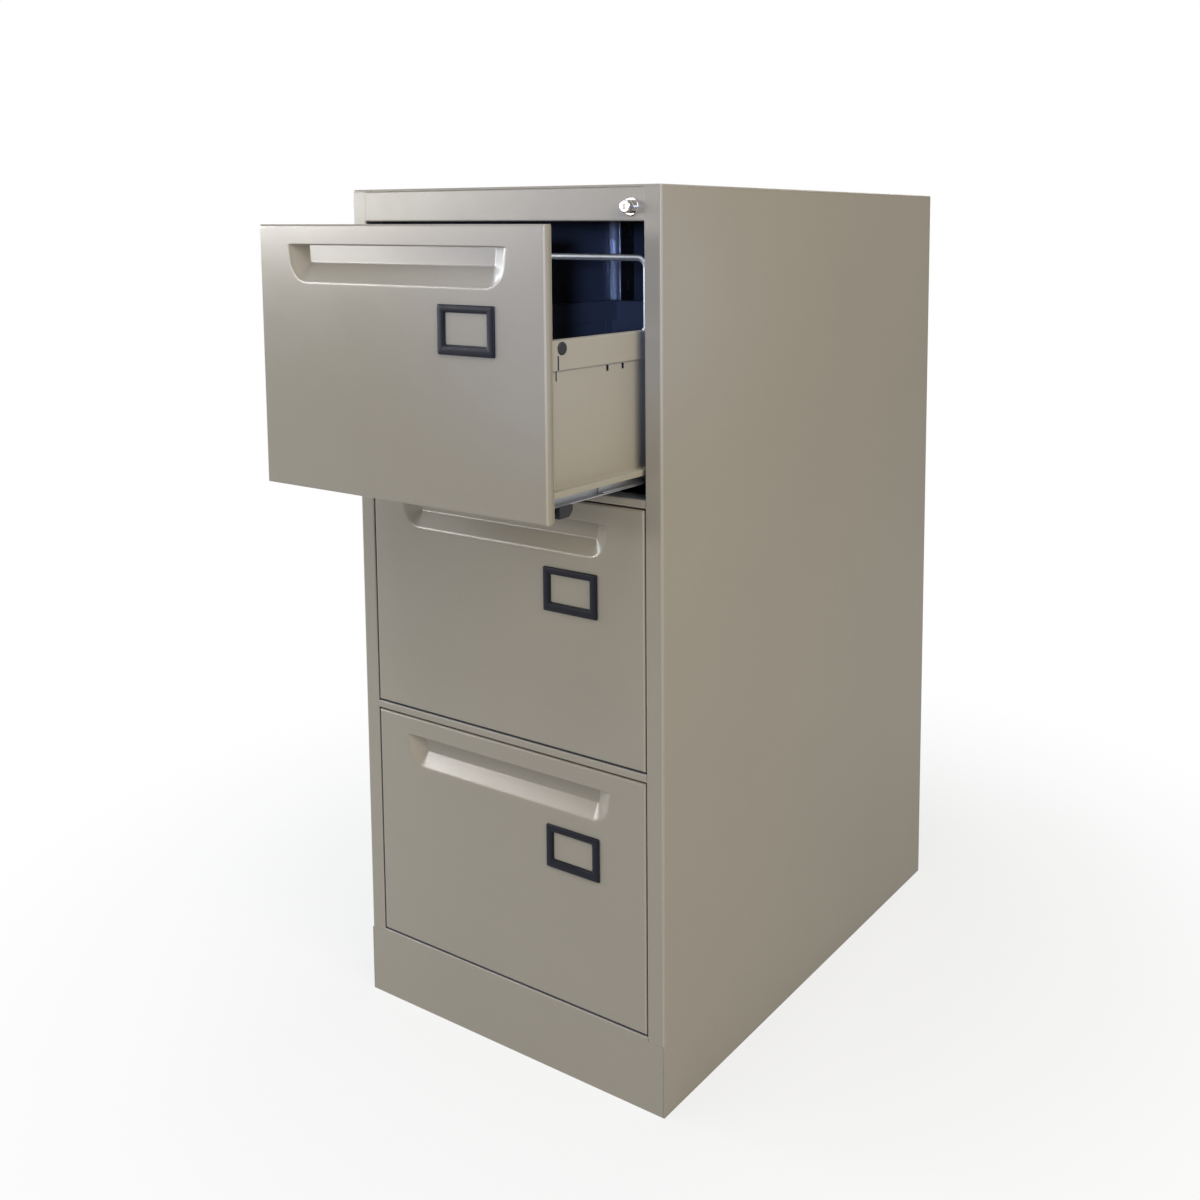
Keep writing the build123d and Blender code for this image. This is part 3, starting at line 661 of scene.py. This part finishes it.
def drawer_front_skin(name, node):
    """Front skin of one drawer, in the place of its CAD node."""
    corner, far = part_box(node)
    flat_x = far.x - roll_radius
    flat_low = corner.z + roll_radius
    flat_high = far.z - roll_radius
    half = far.x - recess_from_edge
    rim_top = far.z - recess_from_top
    rim_low = rim_top - recess_height
    inner = half - recess_slope * slopes_cut_finely
    outer = half + rim_margin
    columns = (even_steps(crease - flat_x, -outer, side_step)
               + even_steps(-outer, -inner, fine_step)
               + even_steps(-inner, inner, wide_step)
               + even_steps(inner, outer, fine_step)
               + even_steps(outer, flat_x - crease, side_step)
               + [flat_x - crease])
    rows = (even_steps(flat_low + crease, rim_low - rim_margin, side_step)
            + even_steps(rim_low - rim_margin, rim_top, fine_step)
            + [rim_top + rise for rise, share in top_edge]
            + even_steps(rim_top + above_top_edge, flat_high - crease, upper_step)
            + [flat_high - crease])
    build = bmesh.new()
    build.faces.new([build.verts.new((x, corner.y, z)) for x, z in
                     ((-flat_x, flat_low), (flat_x, flat_low), (flat_x, flat_high),
                      (-flat_x, flat_high))])
    cut_across(build, Vector((1, 0, 0)), columns)
    cut_across(build, Vector((0, 0, 1)), rows)
    for vert in build.verts:
        share = 1.0
        for rise, above in top_edge:
            if vert.co.z > rim_top + rise - tolerance:
                share = above
        vert.co.y += share * recess_at(vert.co.x, vert.co.z, half, rim_low)
    fold_back(build, flat_x, flat_low, flat_high)
    skin = add_piece(name, build)
    finish_piece(skin, skin_sharp_angle, front_coat)
    thick = skin.modifiers.new("sheet", "SOLIDIFY")
    thick.thickness = sheet
    thick.offset = -1.0
    return skin


for drawer in drawers:
    node = f"{drawer}_drawer_front"
    skin = drawer_front_skin(f"{drawer}_front_skin", node)
    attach(skin, f"{drawer}_drawer")
    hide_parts(node)

# Label holders: frames moulded in black plastic and pegged to the fronts, with a crowned border and
# a lower lip round the window that would keep the card in.
label_dark = (0.0050, 0.0058, 0.0120)
label_rubbed = (0.0085, 0.0100, 0.0190)
label_roughness = (0.38, 0.52)
label_sheen = 0.22
rub_scale = 90.0
label_grain_scale = 1400.0
label_grain_strength = 0.35
label_grain_height = 0.00006
frame_corner = 0.0016
ring_points = 28
frame_sharp_angle = 50
side_border = 0.010
top_border = 0.008
low_border = 0.0105
# Share of the way from the rim to the window, and depth behind the face of the frame.
frame_profile = [(0.0, 0.0024), (0.0, 0.0010), (0.05, 0.0004), (0.13, 0.0001), (0.50, 0.0),
                 (0.82, 0.0001), (0.87, 0.0004), (0.885, 0.0011), (0.97, 0.0012), (1.0, 0.0015),
                 (1.0, 0.0024)]

label_plastic, tree, shader = new_material("label_plastic")
place = own_place(tree)
grain = add_noise(tree, place, label_grain_scale, detail=2.0)
rubbed = add_noise(tree, place, rub_scale, detail=4.0, roughness=0.6)
tree.links.new(add_blend(tree, rubbed, label_dark, label_rubbed), shader.inputs["Base Color"])
tree.links.new(add_range(tree, rubbed, noise_reach, label_roughness), shader.inputs["Roughness"])
shader.inputs["Specular IOR Level"].default_value = label_sheen
bump = add_bump(tree, grain, label_grain_strength, label_grain_height)
tree.links.new(bump.outputs["Normal"], shader.inputs["Normal"])


def frame_ring(build, left, right, low, top, y):
    """Edges of an upright ring with four equally rounded corners."""
    ring = bmesh.ops.create_circle(build, segments=ring_points, radius=1.0,
                                   matrix=Matrix.Rotation(math.pi / ring_points, 4, "Z"))["verts"]
    half_x = (right - left) / 2 - frame_corner
    half_z = (top - low) / 2 - frame_corner
    for vert in ring:
        turn_x, turn_z = vert.co.x, vert.co.y
        vert.co = ((left + right) / 2 + math.copysign(half_x, turn_x) + frame_corner * turn_x, y,
                   (low + top) / 2 + math.copysign(half_z, turn_z) + frame_corner * turn_z)
    return list({edge for vert in ring for edge in vert.link_edges})


def label_frame(name, node):
    """Moulded label holder of one drawer, in the place of its CAD node."""
    corner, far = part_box(node)
    build = bmesh.new()
    rings = [frame_ring(build, corner.x + side_border * share, far.x - side_border * share,
                        corner.z + low_border * share, far.z - top_border * share,
                        corner.y + back) for share, back in frame_profile]
    for outer, inner in zip(rings, rings[1:] + rings[:1]):
        bmesh.ops.bridge_loops(build, edges=outer + inner)
    bmesh.ops.recalc_face_normals(build, faces=build.faces[:])
    holder = add_piece(name, build)
    finish_piece(holder, frame_sharp_angle, label_plastic)
    return holder


for drawer in drawers:
    node = f"{drawer}_drawer_label_holder"
    holder = label_frame(f"{drawer}_label_frame", node)
    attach(holder, f"{drawer}_drawer")
    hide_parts(node)

# Push lock: the barrel with its collar, the plunger that is pushed in and the key plug that turns in
# it, of chromed and polished metal, held in the header by a nut behind it. Fingers leave faint
# smudges.
chrome_dull = (0.52, 0.50, 0.49)
chrome_bright = (0.66, 0.63, 0.61)
chrome_roughness = (0.12, 0.22)
smudge_scale = 160.0
chrome, tree, shader = new_material("lock_chrome")
smudge = add_noise(tree, own_place(tree), smudge_scale, detail=4.0, roughness=0.6)
tree.links.new(add_blend(tree, smudge, chrome_dull, chrome_bright), shader.inputs["Base Color"])
tree.links.new(add_range(tree, smudge, noise_reach, chrome_roughness), shader.inputs["Roughness"])
shader.inputs["Metallic"].default_value = 1.0
dress(["lock_barrel", "lock_plunger", "lock_core"], chrome)
